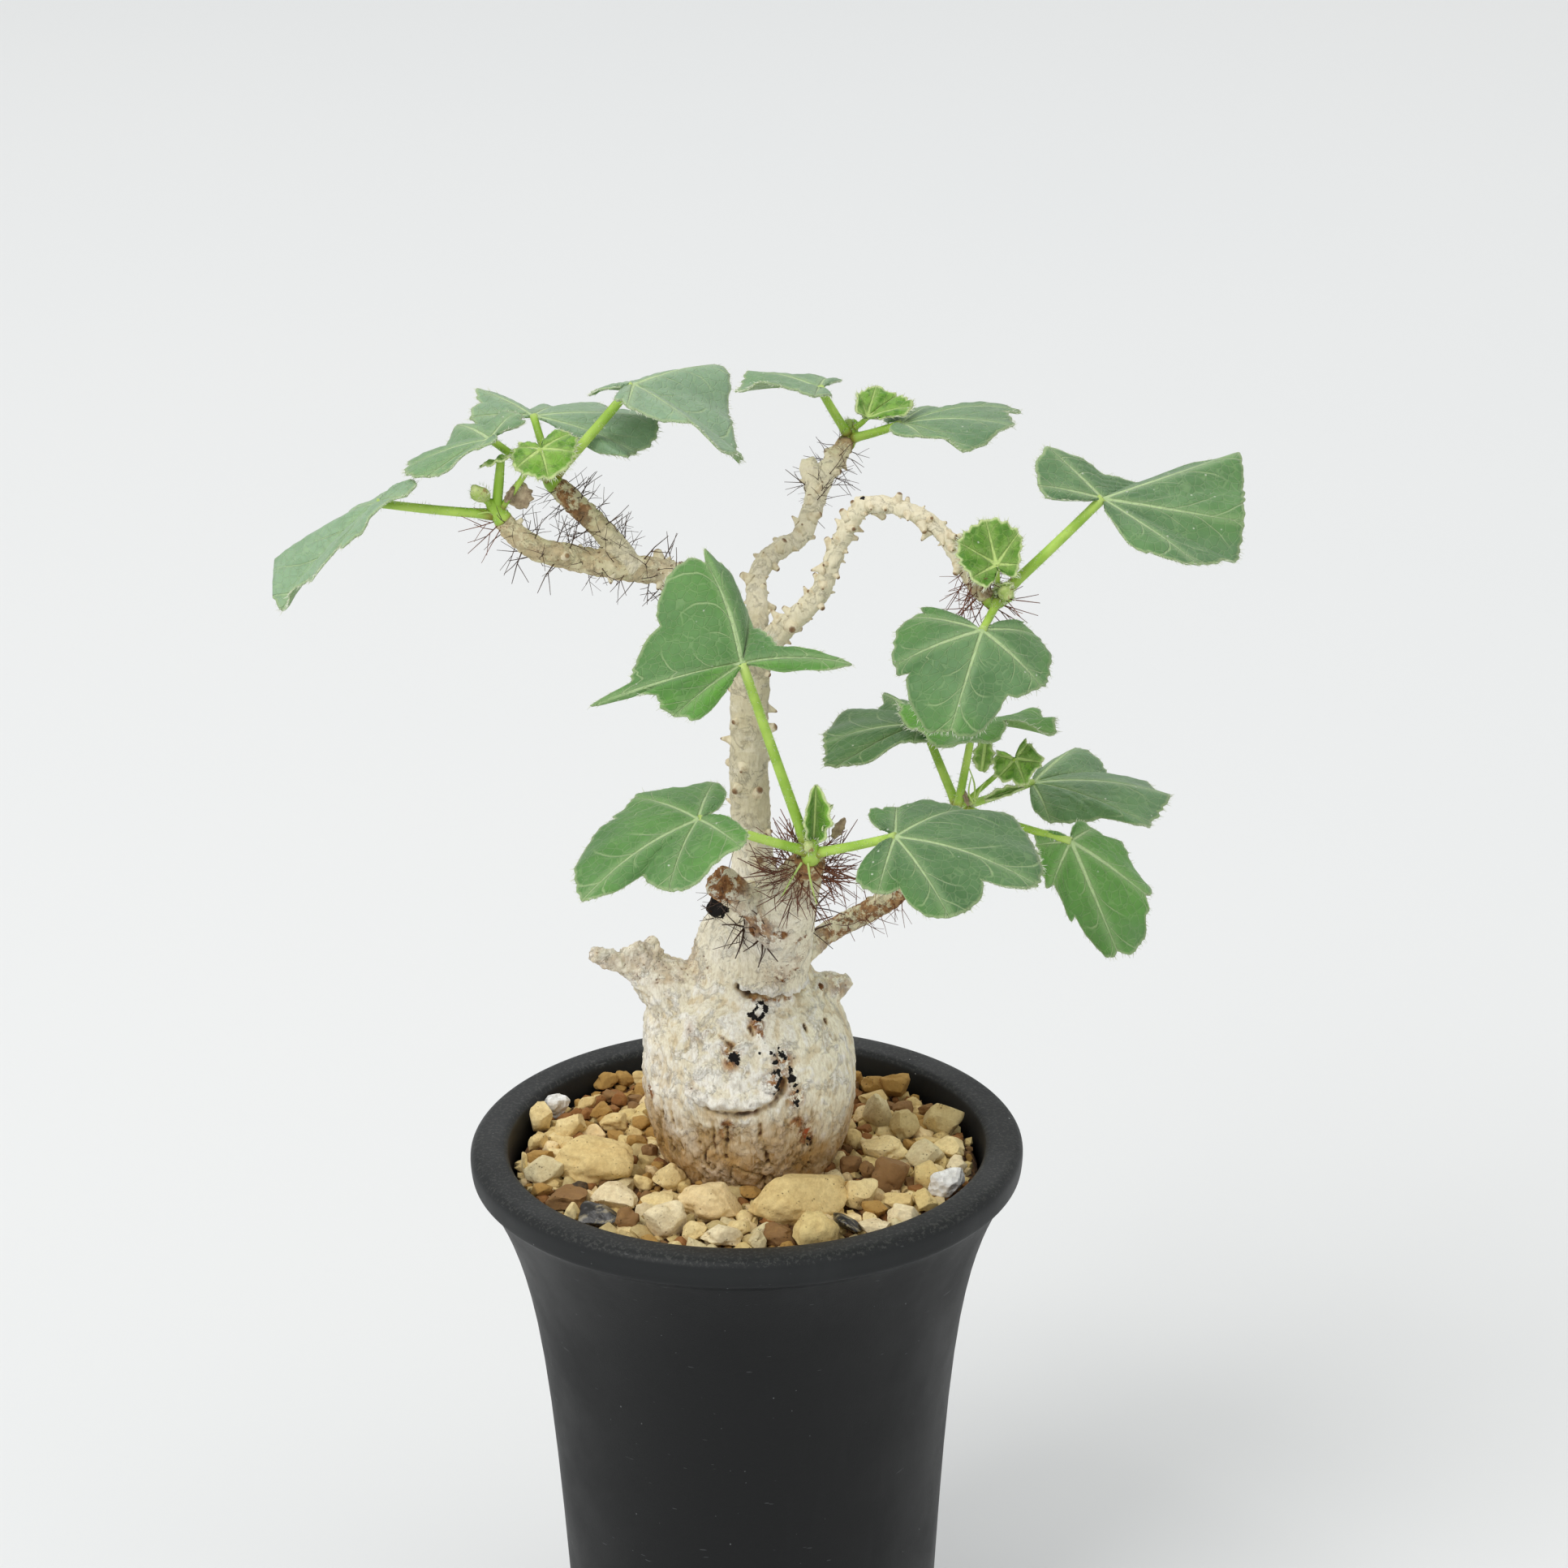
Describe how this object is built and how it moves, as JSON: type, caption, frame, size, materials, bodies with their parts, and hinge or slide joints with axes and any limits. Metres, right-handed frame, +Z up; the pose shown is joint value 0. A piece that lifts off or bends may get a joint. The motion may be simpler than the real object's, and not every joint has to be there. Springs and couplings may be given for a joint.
{
  "type": "potted jatropha",
  "caption": "Bottle-shaped succulent trunk with crooked bristly branches and lobed leaves, in gravel in a tall flared plastic pot.",
  "frame": {"origin": "middle of the underside of the pot's foot, on the surface the pot stands on", "axes": "+Z up through the pot, -Y towards the plant's front, +X to the right seen from the front"},
  "size_m": [0.176, 0.1199, 0.2689],
  "materials": {
    "black_plastic": "matte charcoal-black moulded plastic with a fine grain, dusty and lightly scuffed",
    "gravel": "dry gritty mix of cream, tan and orange-brown pumice and clay grains",
    "cream_stone": "larger porous cream to tan pumice stones, matt and pitted",
    "pale_bark": "pale grey-beige peeling bark with brown scars, dark spots and dry spurs",
    "leaf": "matt grey-green leaf blades with paler raised veins and a fine pale fuzz",
    "young_leaf": "bright yellow-green soft young leaves, buds and shoot tips, slightly satin"
  },
  "bodies": {
    "root": {"pot": "black_plastic", "gravel_mix": "gravel", "stone_left": "cream_stone", "stone_round": "cream_stone", "stone_long": "cream_stone", "stone_front": "cream_stone", "stone_back": "cream_stone", "leaf_left_outer": "leaf", "leaf_left_upper": "leaf", "leaf_left_back": "leaf", "leaf_left_top": "leaf", "leaf_left_young": "young_leaf", "leaf_back_left": "leaf", "leaf_back_young": "young_leaf", "leaf_back_right": "leaf", "leaf_right_high": "leaf", "leaf_right_young": "young_leaf", "leaf_right_front": "leaf", "leaf_front_up": "leaf", "leaf_front_left": "leaf", "leaf_front_right": "leaf", "leaf_low_left": "leaf", "leaf_low_middle": "leaf", "leaf_low_right": "leaf", "leaf_low_hanging": "leaf", "tip_left": "young_leaf", "tip_left_fork": "young_leaf", "tip_back": "young_leaf", "tip_right": "young_leaf", "tip_front": "young_leaf", "tip_low": "young_leaf", "caudex_and_stems": "pale_bark"}
  },
  "joints": []
}
